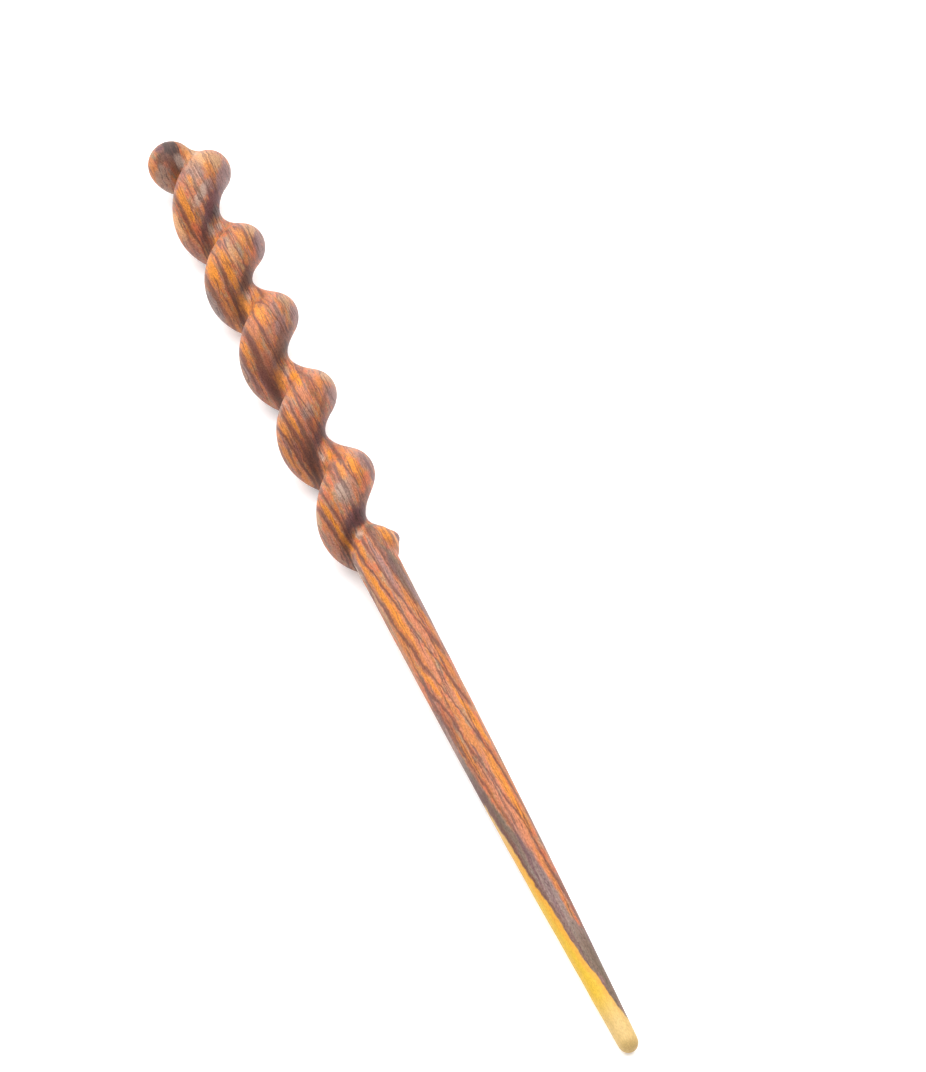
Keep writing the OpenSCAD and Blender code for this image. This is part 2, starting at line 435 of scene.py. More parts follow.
# Wood: places are in mm, along the stick from its middle and across its growth layers
wood = {
    "layerTilt": 14.2,     # degrees that the layers' normal rises from the stick's side
    "axisSide": -1.97,     # the shaft's axis, mm to the side
    "axisHeight": 5.92,    # the handle's axis above the floor
    "leanFrom": -3.4,
    "fallFrom": -2.8,
    "fall": 0.0495,
    "waves": [             # how fast a wave runs each way, its height in mm, seed
        ((0.05, 0.15, 0.25), 0.50, 3.1), ((0.35, 0.8, 0.5), 0.42, 7.4), ((1.1, 3.0, 1.5), 0.30, 2.6)],
    "veins": 0.92,         # how strongly the dark veins show
    "halos": 0.5,          # how strongly the reddish wood beside them shows
    "streaks": 0.72,       # how strongly dark streaks show
    "fineStreaks": (0.53, 0.63),     # from which value of their grain to which
    "broadStreaks": (0.59, 0.67),
    "broadPart": 0.85,
    "raggedness": 0.55,    # mm that the edges of the grey band and the sapwood wander
    "raggedSapwood": 0.6,  # as a part of that
    "greyFrom": (35.0, 43.0),        # along
    "greyEdge": (-0.15, 0.3),        # mm inside its line
    "greyPart": 0.9,
    "brownEdge": (-0.7, -0.2),       # the grey band is brown this far from the sapwood
    "brownTo": (80.0, 62.0),
    "brownPart": 0.85,
    "sapwoodFrom": (40.0, 46.0),
    "sapwoodEdge": (-0.10, 0.14),
    "amberEdge": (0.9, 0.2),
    "paleFrom": (80.0, 87.0),        # at the tip
    "paleTo": (60.0, 50.0),          # and where the sapwood starts
    "paleStart": 0.7,
    "threads": (0.56, 0.76),
    "threadPart": 0.35,
    "creaseShadeStrength": 0.48,       # how much darker the painted shade leaves the creases
    "creaseShadeFrom": (-85.0, -79.0),
    "creaseShadeEdge": (2.6, 0.6),       # across, they fade on the right
    "fibreShade": (0.50, 1.21),
    "calmSapwood": 0.55,   # how much weaker that is on the sapwood
    "roughness": (0.42, 0.54),
    "poreRoughness": 0.2,
    "pores": (0.66, 0.74),
    "relief": 0.05 * mm,
    "reliefStrength": 0.4,
    "fibreRelief": 0.3,    # against the pores
    "gloss": 0.19,
    # Tones. Violet, umber and mauve also serve as painted shade in the patches below, and ash and pale as
    # painted highlights
    "bright": (0.66, 0.225, 0.028),
    "orange": (0.51, 0.173, 0.042),
    "salmon": (0.50, 0.175, 0.080),
    "coral": (0.55, 0.134, 0.056),
    "peach": (0.66, 0.330, 0.140),
    "mauveAndShade": (0.255, 0.142, 0.132),
    "russet": (0.34, 0.085, 0.028),
    "tan": (0.44, 0.245, 0.125),
    "olive": (0.32, 0.205, 0.110),
    "ashAndHighlight": (0.30, 0.215, 0.175),
    "paleHighlight": (0.48, 0.335, 0.260),
    "brown": (0.106, 0.044, 0.036),
    "umberAndShade": (0.200, 0.090, 0.062),
    "violetAndShade": (0.132, 0.053, 0.064),
    "char": (0.060, 0.031, 0.025),
    "grey": (0.130, 0.100, 0.076),
    "slate": (0.240, 0.180, 0.165),
    "sapwood": (0.59, 0.365, 0.030),
    "amber": (0.62, 0.300, 0.035),
    "paleTip": (0.55, 0.375, 0.145),
}

# Grains: length, width and depth of a figure in mm, seed, detail, roughness
grains = {
    "fray": (2.2, 0.28, 1.2, 1.7, 3.0, 0.6),
    "clouds": (7.0, 0.9, 3.0, 8.3, 2.0, 0.5),
    "figure": (14.0, 0.50, 4.0, 5.9, 2.0, 0.5),
    "fine": (7.0, 0.17, 1.6, 4.4, 2.0, 0.6),
    "speck": (0.45, 0.14, 0.14, 9.9, 2.0, 0.7),
    "flecks": (1.7, 0.42, 0.8, 6.3, 2.0, 0.6),
    "pores": (1.4, 0.11, 0.11, 11.9, 1.0, 0.5),
}
usual = (0.3, 0.7)  # most of a grain's values lie between these two

# Tints: tone, what brings it in, from which value to which, strength
groundTints = [
    ("salmon", "clouds", 0.42, 0.60, 1.0),
    ("mauveAndShade", "figure", 0.47, 0.62, 0.62),
    ("ashAndHighlight", "figure", 0.43, 0.33, 0.5),
    ("coral", "flecks", 0.53, 0.64, 0.75),
    ("olive", "flecks", 0.47, 0.36, 0.75),
]
greyTints = [
    ("slate", "along", 54.0, 64.0, 0.8),
    ("grey", "along", 66.0, 76.0, 1.0),
    ("violetAndShade", "figure", 0.48, 0.64, 0.7),
    ("mauveAndShade", "clouds", 0.52, 0.66, 0.6),
]

# Dark veins: strength, then along, across and half width of the points each runs through
veins = [
    (0.80, [(-79, -3.4, 0.1), (-76, -3.9, 0.25), (-72, -3.8, 0.3), (-68, -3.4, 0.15), (-64, -2.7, 0.1),
            (-61, -2.4, 0.18), (-58, -2.3, 0.2), (-54, -2.35, 0.32), (-50, -2.6, 0.3), (-46, -2.9, 0.3),
            (-41, -2.9, 0.45), (-37, -2.8, 0.7), (-33, -2.6, 0.3), (-28, -3.2, 0.2), (-24, -3.1, 0.28),
            (-20, -2.5, 0.4), (-16, -2.6, 0.3), (-12, -3.1, 0.12), (-9, -2.9, 0.18), (-5, -2.3, 0.22),
            (0, -1.95, 0.22), (6, -1.35, 0.14), (12, -0.6, 0.14), (18, 0.05, 0.12), (23, 0.9, 0.14),
            (28, 1.6, 0.2), (33, 2.5, 0.16)]),
    (0.75, [(-13, -4.6, 0.1), (-10, -4.4, 0.18), (-5, -3.8, 0.2), (-2, -3.3, 0.15), (3, -2.9, 0.08),
            (9, -2.5, 0.1), (15, -2.05, 0.16), (20, -1.4, 0.23), (24, -0.95, 0.2), (28, -0.2, 0.12),
            (33, 0.6, 0.11), (38, 1.2, 0.16), (42, 1.7, 0.16), (47, 1.9, 0.13), (56, 2.4, 0.08)]),
    (0.75, [(22, -2.7, 0.08), (26, -2.2, 0.11), (29, -1.65, 0.2), (32, -1.0, 0.23), (34, -0.8, 0.21),
            (37, -0.8, 0.12), (41, -0.4, 0.12), (44, 0.05, 0.1), (48, 0.35, 0.13), (52, 0.95, 0.14),
            (57, 1.25, 0.15), (62, 1.45, 0.18), (68, 1.9, 0.12)]),
    (0.65, [(28, -2.4, 0.08), (33, -2.0, 0.16), (38, -1.8, 0.18), (43, -1.4, 0.15), (47, -1.05, 0.18),
            (51, -0.8, 0.16), (56, -0.2, 0.08)]),
    (0.75, [(-3, -0.6, 0.12), (0, -0.5, 0.22), (4, -0.3, 0.1), (7, -0.05, 0.11), (10, 0.3, 0.25),
            (13, 0.7, 0.16), (16, 1.15, 0.16), (20, 2.0, 0.25), (23, 2.7, 0.2)]),
    (0.75, [(-4, 0.7, 0.25), (0, 0.8, 0.2), (4, 1.0, 0.1), (9, 1.45, 0.08), (15, 2.2, 0.1)]),
    (0.75, [(-63, -0.6, 0.12), (-60, -0.5, 0.12), (-57, -0.2, 0.05), (-54, 0.2, 0.06), (-50, -0.5, 0.1),
            (-45, -0.8, 0.18), (-42, -0.6, 0.2), (-38, -0.4, 0.12), (-33, 0.0, 0.14), (-29, 0.0, 0.16),
            (-25, 0.5, 0.08), (-19, 1.4, 0.28), (-14, 1.6, 0.28), (-11, 1.8, 0.16), (-8, 2.3, 0.16)]),
    (0.75, [(-29, -1.9, 0.12), (-26, -1.6, 0.2), (-22, -1.5, 0.25), (-19, -1.4, 0.3), (-15, -1.8, 0.12),
            (-11, -1.7, 0.16), (-8, -1.6, 0.12)]),
    (0.85, [(-28, -4.8, 0.1), (-25, -4.6, 0.14), (-21, -3.9, 0.18), (-18, -3.3, 0.2), (-15, -2.9, 0.1)]),
    (0.75, [(-23, -2.8, 0.1), (-21, -2.5, 0.16), (-19, -2.0, 0.2), (-17, -1.6, 0.2)]),
    (0.60, [(-17, -0.4, 0.2), (-13, -0.5, 0.28), (-10, -0.5, 0.12), (-8, -0.7, 0.08)]),
    (0.60, [(-36, 1.8, 0.2), (-31, 2.1, 0.35), (-27, 2.2, 0.3), (-24, 2.6, 0.15)]),
    (0.75, [(-48, -4.9, 0.15), (-43, -5.0, 0.25), (-39, -4.9, 0.25), (-35, -3.8, 0.2)]),
    (0.70, [(-52, -0.2, 0.1), (-50, 0.5, 0.16), (-48, 1.0, 0.15), (-46, 1.7, 0.14), (-43, 2.1, 0.12),
            (-40, 2.5, 0.1)]),
    (0.60, [(-50, 1.5, 0.12), (-48, 1.9, 0.14), (-46, 2.5, 0.12), (-44, 2.9, 0.1)]),
    (0.45, [(-50, 2.8, 0.12), (-47, 3.4, 0.12), (-44, 3.9, 0.12)]),
    (0.70, [(-67, 1.4, 0.25), (-64, 0.9, 0.25), (-61, 0.9, 0.09), (-59, 1.2, 0.1), (-56, 1.4, 0.1),
            (-52, 1.7, 0.25), (-48, 1.6, 0.1)]),
    (0.55, [(-67, 2.2, 0.15), (-63, 1.6, 0.1), (-60, 2.0, 0.1), (-58, 2.3, 0.1)]),
    (0.55, [(-80, -2.2, 0.1), (-77, -1.9, 0.14), (-74, -1.5, 0.12), (-71, -1.8, 0.12)]),
    (0.80, [(-71, -2.0, 0.3), (-69, -2.2, 0.4), (-66, -2.0, 0.35)]),
    (0.55, [(-70, 0.1, 0.1), (-68, -0.1, 0.14), (-66, 0.3, 0.2), (-64, 0.2, 0.16)]),
    (0.50, [(-83, 1.5, 0.1), (-80, 0.5, 0.16), (-77, 0.4, 0.12), (-75, 0.8, 0.1)]),
    (0.45, [(-82, -1.2, 0.1), (-79, -1.0, 0.2), (-77, -1.4, 0.1)]),
    (0.45, [(-82, 3.2, 0.1), (-78, 2.9, 0.12), (-75, 2.5, 0.15)]),
    (0.60, [(-62, -5.2, 0.1), (-58, -5.0, 0.25), (-54, -4.6, 0.25), (-51, -3.8, 0.15)]),
    (0.45, [(-72, -4.6, 0.1), (-69, -4.5, 0.2), (-67, -3.9, 0.15)]),
]

# Soft patches: along, across, half length, half width, drift across for each mm along, tone, strength
# Among them, the violet, umber and mauve bands that slant along each turn's crease and its right rim, on
# walls facing the tip, are painted shade
patches = [
    (-85.0, 1.4, 3.4, 1.2, 0, "tan", 0.9),
    (-84.6, 0.9, 1.8, 0.6, 0, "bright", 0.5),
    (-86.5, -5.2, 3.0, 0.8, 0, "orange", 0.8),
    (-86.8, -1.25, 3.8, 1.4, 0, "char", 1.0),
    (-85.3, -2.8, 1.5, 1.6, 0, "char", 0.85),
    (-83.6, -2.0, 1.3, 1.5, 0, "brown", 0.65),
    (-87.2, -2.8, 1.1, 0.7, 0, "violetAndShade", 0.95),
    (-84.5, -2.9, 1.2, 1.3, 0, "umberAndShade", 0.75),
    (-84.1, -3.0, 0.5, 0.6, 0, "coral", 0.45),
    (-87.2, -4.1, 1.4, 0.4, 0, "olive", 0.8),
    (-83.6, -4.2, 1.2, 1.6, 0, "ashAndHighlight", 0.7),
    (-83.9, -0.7, 1.1, 0.8, 0, "ashAndHighlight", 0.85),
    (-79.0, -1.0, 2.6, 1.4, 0, "mauveAndShade", 0.55),
    (-80.0, 3.2, 3.2, 1.6, 0, "tan", 0.85),
    (-78.0, 1.1, 2.4, 1.0, 0, "mauveAndShade", 0.6),
    (-78.0, 2.8, 1.6, 0.6, 0, "orange", 0.7),
    (-77.0, 4.8, 4.0, 0.8, -0.25, "mauveAndShade", 0.9),
    (-78.6, 2.7, 1.2, 0.5, 0, "bright", 0.5),
    (-81.2, 1.2, 1.0, 0.6, 0, "orange", 0.8),
    (-79.6, 4.4, 1.8, 0.7, -0.3, "tan", 0.9),
    # painted shade on turn 1's right rim, which faces the tip
    (-76.2, 3.6, 2.6, 0.55, -0.6, "mauveAndShade", 0.9),
    (-80.2, 1.2, 2.4, 1.8, 0, "tan", 0.6),
    (-80.6, 2.6, 2.0, 1.1, 0, "peach", 0.55),
    # painted highlight on turn 1's front
    (-77.0, 0.2, 2.6, 1.3, 0, "paleHighlight", 0.35),
    (-78.0, -0.3, 1.1, 0.4, 0, "umberAndShade", 0.5),
    # painted shade along turn 1's crease; the pale spot in it is a painted highlight
    (-74.5, 1.2, 1.6, 1.0, -0.90, "mauveAndShade", 0.75),
    (-73.5, -0.4, 1.7, 1.0, -0.95, "paleHighlight", 0.75),
    (-71.7, 0.2, 3.8, 0.95, -0.82, "violetAndShade", 0.88),
    (-71.6, 0.9, 1.0, 0.4, -0.5, "slate", 0.7),
    (-74.2, -2.9, 2.9, 0.75, 0, "bright", 1.0),
    (-71.4, -2.9, 1.5, 0.5, 0.1, "bright", 0.9),
    (-70.8, -1.5, 0.9, 0.4, 0, "umberAndShade", 0.7),
    (-69.8, -2.9, 1.2, 0.5, 0.1, "coral", 0.9),
    (-72.6, -5.2, 3.0, 0.6, 0.1, "peach", 0.85),
    (-76.5, -0.7, 1.4, 0.45, 0, "bright", 0.8),
    (-75.0, -0.3, 1.6, 0.4, 0, "tan", 0.7),
    # the pale and ash spots just past turn 1's crease are painted highlights
    (-68.6, -1.0, 1.3, 0.5, 0, "paleHighlight", 0.7),
    (-67.0, -1.1, 1.2, 0.5, 0, "bright", 0.7),
    (-68.8, 0.3, 1.1, 0.4, 0, "ashAndHighlight", 0.7),
    (-68.5, -4.6, 2.4, 0.7, 0.3, "mauveAndShade", 0.45),
    (-64.8, 1.0, 1.0, 0.4, 0, "umberAndShade", 0.6),
    # painted shade on turn 1's right rim
    (-70.6, 2.0, 1.2, 0.5, -0.6, "umberAndShade", 0.5),
    (-62.0, 2.6, 2.5, 0.8, 0, "bright", 0.7),
    (-60.3, 3.4, 1.6, 0.4, -0.2, "bright", 0.6),
    (-63.5, 4.4, 2.2, 1.0, 0, "tan", 0.8),
    # painted shade on turn 2's right rim
    (-60.8, 4.6, 3.4, 0.6, -0.35, "mauveAndShade", 0.95),
    (-60.9, 4.3, 1.5, 0.5, -0.3, "violetAndShade", 0.5),
    (-60.6, 0.2, 2.4, 0.7, 0, "mauveAndShade", 0.5),
    (-60.0, 0.3, 1.6, 0.3, 0, "tan", 0.8),
    (-61.6, 1.6, 0.9, 0.4, 0, "salmon", 0.9),
    (-59.3, 1.4, 1.5, 0.6, 0, "olive", 0.8),
    (-59.0, 1.4, 0.7, 0.3, 0, "slate", 0.6),
    (-58.6, 3.1, 1.8, 0.35, -0.6, "coral", 0.7),
    (-58.6, 0.2, 1.8, 0.8, 0, "peach", 0.5),
    # painted shade along turn 2's crease and its right rim
    (-56.0, 0.8, 3.1, 0.70, -0.93, "umberAndShade", 0.85),
    (-57.4, 2.5, 2.6, 0.35, -0.70, "umberAndShade", 0.6),
    (-57.6, -1.3, 3.0, 0.7, 0, "bright", 1.0),
    (-58.2, -3.6, 3.0, 0.9, 0, "bright", 1.0),
    (-52.6, -3.9, 1.8, 0.8, 0, "orange", 0.6),
    (-55.5, -5.7, 4.5, 0.9, 0.15, "slate", 0.9),
    (-52.0, -1.4, 2.2, 0.7, 0, "bright", 0.9),
    # painted highlight just past turn 2's crease
    (-53.3, -0.2, 1.2, 0.4, 0, "ashAndHighlight", 0.6),
    (-52.8, 0.95, 1.8, 0.35, 0, "orange", 0.9),
    (-45.8, 0.2, 2.9, 0.85, 0, "bright", 1.0),
    (-47.2, 0.6, 0.9, 0.4, 0, "umberAndShade", 0.7),
    (-45.0, 2.4, 2.2, 0.6, 0, "mauveAndShade", 0.5),
    (-43.8, -1.7, 2.8, 0.65, 0, "salmon", 0.9),
    (-41.8, -4.2, 2.6, 0.5, 0, "bright", 0.7),
    (-47.2, 4.2, 2.0, 0.9, 0, "tan", 0.8),
    # painted shade on turn 3's right rim
    (-45.0, 4.8, 3.0, 0.6, -0.3, "mauveAndShade", 0.9),
    (-42.4, 2.2, 2.0, 0.9, -0.4, "mauveAndShade", 0.8),
    (-41.0, -5.7, 4.0, 0.5, 0.1, "tan", 0.7),
    (-38.5, -5.0, 3.0, 0.5, 0.25, "mauveAndShade", 0.8),
    (-41.6, 0.5, 1.5, 1.1, -0.6, "mauveAndShade", 0.3),
    # painted shade along turn 3's crease and its right rim
    (-39.9, 0.7, 3.5, 0.75, -0.85, "umberAndShade", 0.85),
    (-41.6, 2.6, 2.2, 0.35, -0.75, "umberAndShade", 0.7),
    (-41.5, -2.7, 3.0, 0.5, 0, "violetAndShade", 0.45),
    (-40.8, -5.2, 2.4, 0.5, 0.1, "slate", 0.45),
    (-38.3, -1.5, 1.6, 0.9, 0, "mauveAndShade", 0.6),
    (-38.3, -1.6, 1.2, 0.6, 0, "russet", 0.5),
    (-36.5, -3.2, 2.6, 0.7, 0.1, "violetAndShade", 0.8),
    (-36.4, -1.9, 1.6, 0.4, 0, "violetAndShade", 0.45),
    (-35.2, -1.2, 1.5, 0.8, 0, "bright", 1.0),
    # painted highlight just past turn 3's crease
    (-36.2, 0.0, 1.0, 0.4, 0, "ashAndHighlight", 0.6),
    (-34.2, 0.9, 2.6, 0.6, 0, "bright", 1.0),
    (-34.1, 2.0, 1.2, 0.4, 0, "umberAndShade", 0.6),
    (-30.6, 1.0, 2.2, 0.55, 0, "bright", 1.0),
    (-27.0, 0.9, 2.2, 0.7, 0, "salmon", 0.9),
    (-28.7, -0.8, 1.8, 0.55, 0, "orange", 0.9),
    (-26.8, -1.2, 1.6, 0.6, 0, "ashAndHighlight", 0.4),
    (-29.0, 3.6, 2.0, 0.8, 0, "orange", 0.8),
    # the mauve and umber bands on turn 4's right rim are painted shade
    (-27.6, 4.0, 1.4, 0.5, -0.3, "mauveAndShade", 0.6),
    (-25.6, 2.8, 2.2, 0.35, -0.63, "umberAndShade", 0.7),
    (-31.2, 4.9, 2.0, 0.8, 0, "tan", 0.9),
    (-27.4, 4.7, 2.4, 0.5, -0.4, "mauveAndShade", 0.8),
    # painted highlight on turn 4's left side
    (-28.2, -3.3, 1.4, 0.7, 0, "paleHighlight", 0.8),
    (-24.2, -4.0, 2.5, 0.5, 0.1, "bright", 0.8),
    (-24.6, -2.4, 2.6, 0.4, 0.12, "bright", 0.9),
    (-24.5, 0.3, 1.4, 1.0, -0.4, "slate", 0.5),
    # painted shade along turn 4's crease
    (-22.2, 0.7, 3.3, 0.70, -0.85, "violetAndShade", 0.65),
    (-23.0, -0.1, 1.0, 0.7, -0.2, "russet", 0.6),
    (-21.0, -4.8, 4.5, 0.32, 0.28, "orange", 0.95),
    (-19.4, -1.9, 3.0, 1.1, 0, "brown", 0.7),
    (-20.6, -3.3, 2.6, 0.35, 0.25, "violetAndShade", 0.55),
    # painted highlight just past turn 4's crease
    (-18.7, -0.65, 1.1, 0.4, 0, "paleHighlight", 0.75),
    (-18.0, 0.5, 2.4, 0.45, 0, "bright", 0.9),
    (-18.0, 2.6, 2.4, 0.5, 0, "orange", 0.9),
    (-11.4, 0.95, 2.4, 0.5, 0, "bright", 0.7),
    (-12.2, 2.7, 2.8, 0.6, 0, "bright", 1.0),
    (-13.4, 4.4, 2.8, 0.9, 0, "mauveAndShade", 0.75),
    (-11.6, 4.9, 2.0, 0.5, 0, "violetAndShade", 0.7),
    (-13.8, 1.3, 1.5, 0.3, 0, "umberAndShade", 0.75),
    (-15.0, -0.2, 1.0, 0.35, 0, "umberAndShade", 0.75),
    (-13.3, 0.2, 1.4, 0.45, 0, "umberAndShade", 0.6),
    (-15.5, 1.7, 1.2, 0.35, 0, "russet", 0.6),
    (-9.4, 3.4, 2.2, 0.40, -0.6, "coral", 0.8),
    # painted shade on turn 5's right rim
    (-7.8, 2.7, 2.0, 0.4, -0.83, "umberAndShade", 0.75),
    (-11.0, -1.1, 1.2, 0.4, 0, "coral", 0.6),
    (-8.4, 1.3, 1.2, 0.6, 0, "salmon", 0.8),
    # painted highlight on turn 5's front
    (-7.9, 0.0, 2.0, 1.4, -0.4, "ashAndHighlight", 0.75),
    (-8.4, -0.4, 1.2, 0.8, 0, "paleHighlight", 0.55),
    (-7.0, -3.4, 3.6, 0.35, 0.17, "bright", 1.0),
    (-2.5, -2.7, 2.6, 0.35, 0.2, "bright", 0.9),
    (-8.0, -5.0, 2.4, 0.6, 0, "tan", 0.7),
    (-3.6, -4.6, 3.0, 0.7, 0.3, "mauveAndShade", 0.45),
    # painted shade along turn 5's crease
    (-4.9, 0.3, 2.2, 1.5, -1.2, "violetAndShade", 0.85),
    # painted highlight just past turn 5's crease
    (-2.0, -0.5, 1.3, 0.6, 0, "paleHighlight", 0.8),
    (-2.2, 1.2, 2.0, 0.7, 0, "grey", 0.8),
    (-3.9, 2.1, 1.4, 0.5, -0.5, "grey", 0.8),
    (-1.0, 3.0, 3.0, 1.0, 0, "bright", 1.0),
    (-1.6, 4.4, 1.2, 0.5, 0, "mauveAndShade", 0.8),
    (-0.2, 1.2, 1.5, 0.4, 0, "umberAndShade", 0.9),
    (2.0, -3.1, 2.6, 0.5, 0.1, "paleHighlight", 0.9),
    (1.4, 3.2, 1.2, 0.7, 0, "russet", 0.5),
    (12.0, -1.4, 11.0, 0.42, 0.09, "bright", 1.0),
    (1.2, -1.2, 1.8, 0.4, 0, "bright", 0.8),
    (24.5, 0.1, 7.0, 0.45, 0.12, "salmon", 0.9),
    (7.5, 2.1, 7.5, 0.9, 0.10, "grey", 0.85),
    (5.0, 1.5, 3.5, 0.5, 0.08, "violetAndShade", 0.45),
    (11.5, 2.4, 4.0, 0.4, 0.08, "umberAndShade", 0.45),
    (13.0, 2.7, 7.0, 0.35, 0.05, "mauveAndShade", 0.8),
    (6.5, 0.4, 6.5, 0.65, 0.06, "mauveAndShade", 0.8),
    (13.0, 1.5, 3.0, 0.35, 0.1, "orange", 0.9),
    (17.0, 2.4, 2.4, 0.35, 0.05, "orange", 0.8),
    (17.0, 0.7, 5.0, 0.35, 0.12, "salmon", 0.8),
    (24.0, 2.0, 4.0, 0.4, 0.1, "orange", 0.9),
    (12.0, -2.7, 8.0, 0.25, 0.02, "tan", 0.7),
    (20.0, -2.2, 5.0, 0.35, 0.04, "orange", 0.8),
    (26.0, -1.3, 4.0, 0.35, 0.14, "bright", 0.8),
    (36.5, -2.5, 8.5, 0.42, 0.02, "slate", 0.75),
    (33.0, -1.5, 2.6, 0.35, 0.1, "russet", 0.5),
    (34.5, -0.9, 1.0, 0.3, 0, "violetAndShade", 0.55),
    (34.0, 1.6, 5.0, 0.4, 0.1, "bright", 0.9),
    (32.0, -0.2, 3.0, 0.35, 0.1, "orange", 0.9),
    (37.4, 1.1, 1.3, 0.4, 0, "violetAndShade", 0.7),
    (39.7, 1.6, 1.1, 0.3, 0, "russet", 0.6),
    (37.5, 0.1, 3.4, 0.5, 0.08, "orange", 0.9),
    (40.0, -1.2, 5.0, 0.3, 0.07, "orange", 0.8),
    (47.0, 1.1, 8.0, 0.5, 0.03, "bright", 0.9),
    (46.5, -0.4, 5.0, 0.35, 0.06, "salmon", 0.9),
    (54.0, 0.4, 6.0, 0.5, 0.07, "salmon", 0.9),
    (60.5, 1.0, 4.0, 0.35, 0.06, "orange", 0.8),
]

# The pale sapwood lies left of the first line, and a grey band between the two: along, across
sapwoodLine = [(40, -3.2), (46, -2.6), (50, -2.35), (53, -2.0), (56, -1.85), (59, -1.7), (62, -1.35),
               (65, -1.05), (68, -0.75), (71, -0.55), (74, -0.3), (77, 0.1), (80, 0.5), (83, 0.85),
               (85, 1.2), (87, 2.0), (90, 3.5)]
greyLine = [(34, -2.5), (38, -2.1), (42, -1.85), (46, -1.5), (50, -1.2), (53, -0.75), (56, -0.1), (60, 0.4),
            (65, 0.85), (68, 0.9), (70, 1.4), (74, 2.4), (90, 4)]

halfLength = 90.0  # mm
farAcross = 8.0    # mm, the widest place a line may have


def layerPlace(tree, place):
    m = partial(calc, tree)
    inMm = addNode(tree, "ShaderNodeVectorMath", {0: place, "Scale": 1 / mm}, operation="SCALE").outputs[0]
    split = addNode(tree, "ShaderNodeSeparateXYZ", {"Vector": inMm}).outputs
    lean = m("MULTIPLY", m("MAXIMUM", m("SUBTRACT", wood["leanFrom"], split["X"]), 0),
             math.tan(math.radians(stick["lean"])))
    side = m("SUBTRACT", m("SUBTRACT", split["Y"], wood["axisSide"]), lean)
    fall = m("MULTIPLY", m("MAXIMUM", m("SUBTRACT", split["X"], wood["fallFrom"]), 0), -wood["fall"])
    height = m("SUBTRACT", m("SUBTRACT", split["Z"], wood["axisHeight"]), fall)
    tilt = math.radians(wood["layerTilt"])
    across = m("ADD", m("MULTIPLY", side, math.cos(tilt)), m("MULTIPLY", height, math.sin(tilt)))
    deep = m("SUBTRACT", m("MULTIPLY", height, math.cos(tilt)), m("MULTIPLY", side, math.sin(tilt)))
    # The layers wander a little: broad waves, and a fine tremble
    for stretch, strength, seed in wood["waves"]:
        squeezed = calcVector(tree, "MULTIPLY", inMm, stretch)
        wave = addNode(tree, "ShaderNodeTexNoise",
                       {"Vector": squeezed, "W": seed, "Scale": 1.0, "Detail": 1.0},
                       noise_dimensions="4D").outputs["Fac"]
        across = m("MULTIPLY_ADD", m("SUBTRACT", wave, 0.5), strength, across)
    return addNode(tree, "ShaderNodeCombineXYZ", {"X": split["X"], "Y": across, "Z": deep}).outputs[0]


# A vein and a patch fray at their edges. Widths count in the vein's half width, the taper in mm
veinEdge = {"fray": 3.0, "thin": -0.45, "core": 0.3, "end": 1.5, "halo": 1.6, "lateWood": 2.6, "taper": 2.5}
patchEdge = {"fray": 1.5, "core": 0.5, "end": 1.25}


def veinGroup():
    names = ("Along", "Across", "Line", "Half Width", "Strength", "Start", "End", "Fray")
    group, given, result = newGroup("darkVein", "ShaderNodeTree", dict.fromkeys(names, "Float"),
                                    {"Mask": "Float", "Halo": "Float"})
    m = partial(calc, group)
    offset = m("SUBTRACT", given["Across"], given["Line"])
    away = m("ABSOLUTE", offset)
    frayed = m("MULTIPLY_ADD", given["Fray"], veinEdge["fray"], veinEdge["thin"])
    width = m("MULTIPLY", given["Half Width"], frayed)
    core, end = m("MULTIPLY", width, veinEdge["core"]), m("MULTIPLY", width, veinEdge["end"])
    body = m("SUBTRACT", 1, smoothStep(group, away, core, end))
    # Late wood: one side of a vein fades out slowly
    spread = m("MULTIPLY_ADD", m("GREATER_THAN", offset, 0), veinEdge["lateWood"], veinEdge["halo"])
    halo = m("SUBTRACT", 1, smoothStep(group, away, 0.0, m("MULTIPLY", width, spread)))
    fadeIn = smoothStep(group, given["Along"], given["Start"], m("ADD", given["Start"], veinEdge["taper"]))
    fadeOut = smoothStep(group, given["Along"], given["End"], m("SUBTRACT", given["End"], veinEdge["taper"]))
    kept = m("MULTIPLY", m("MULTIPLY", fadeIn, fadeOut), given["Strength"])
    plug(group, result["Mask"], m("MULTIPLY", body, kept))
    plug(group, result["Halo"], m("MULTIPLY", halo, kept))
    return group


def patchGroup():
    names = ("Along", "Across", "Place", "Side", "Half Length", "Half Width", "Drift", "Strength", "Fray")
    group, given, result = newGroup("softPatch", "ShaderNodeTree", dict.fromkeys(names, "Float"),
                                    {"Mask": "Float"})
    m = partial(calc, group)
    past = m("SUBTRACT", given["Along"], given["Place"])
    lengthwise = m("DIVIDE", past, given["Half Length"])
    sideways = m("DIVIDE", m("SUBTRACT", m("SUBTRACT", given["Across"], given["Side"]),
                             m("MULTIPLY", past, given["Drift"])), given["Half Width"])
    away = m("SQRT", m("ADD", m("MULTIPLY", lengthwise, lengthwise), m("MULTIPLY", sideways, sideways)))
    frayed = m("ADD", away, m("MULTIPLY", m("SUBTRACT", given["Fray"], 0.5), patchEdge["fray"]))
    body = m("SUBTRACT", 1, smoothStep(group, frayed, patchEdge["core"], patchEdge["end"]))
    plug(group, result["Mask"], m("MULTIPLY", body, given["Strength"]))
    return group


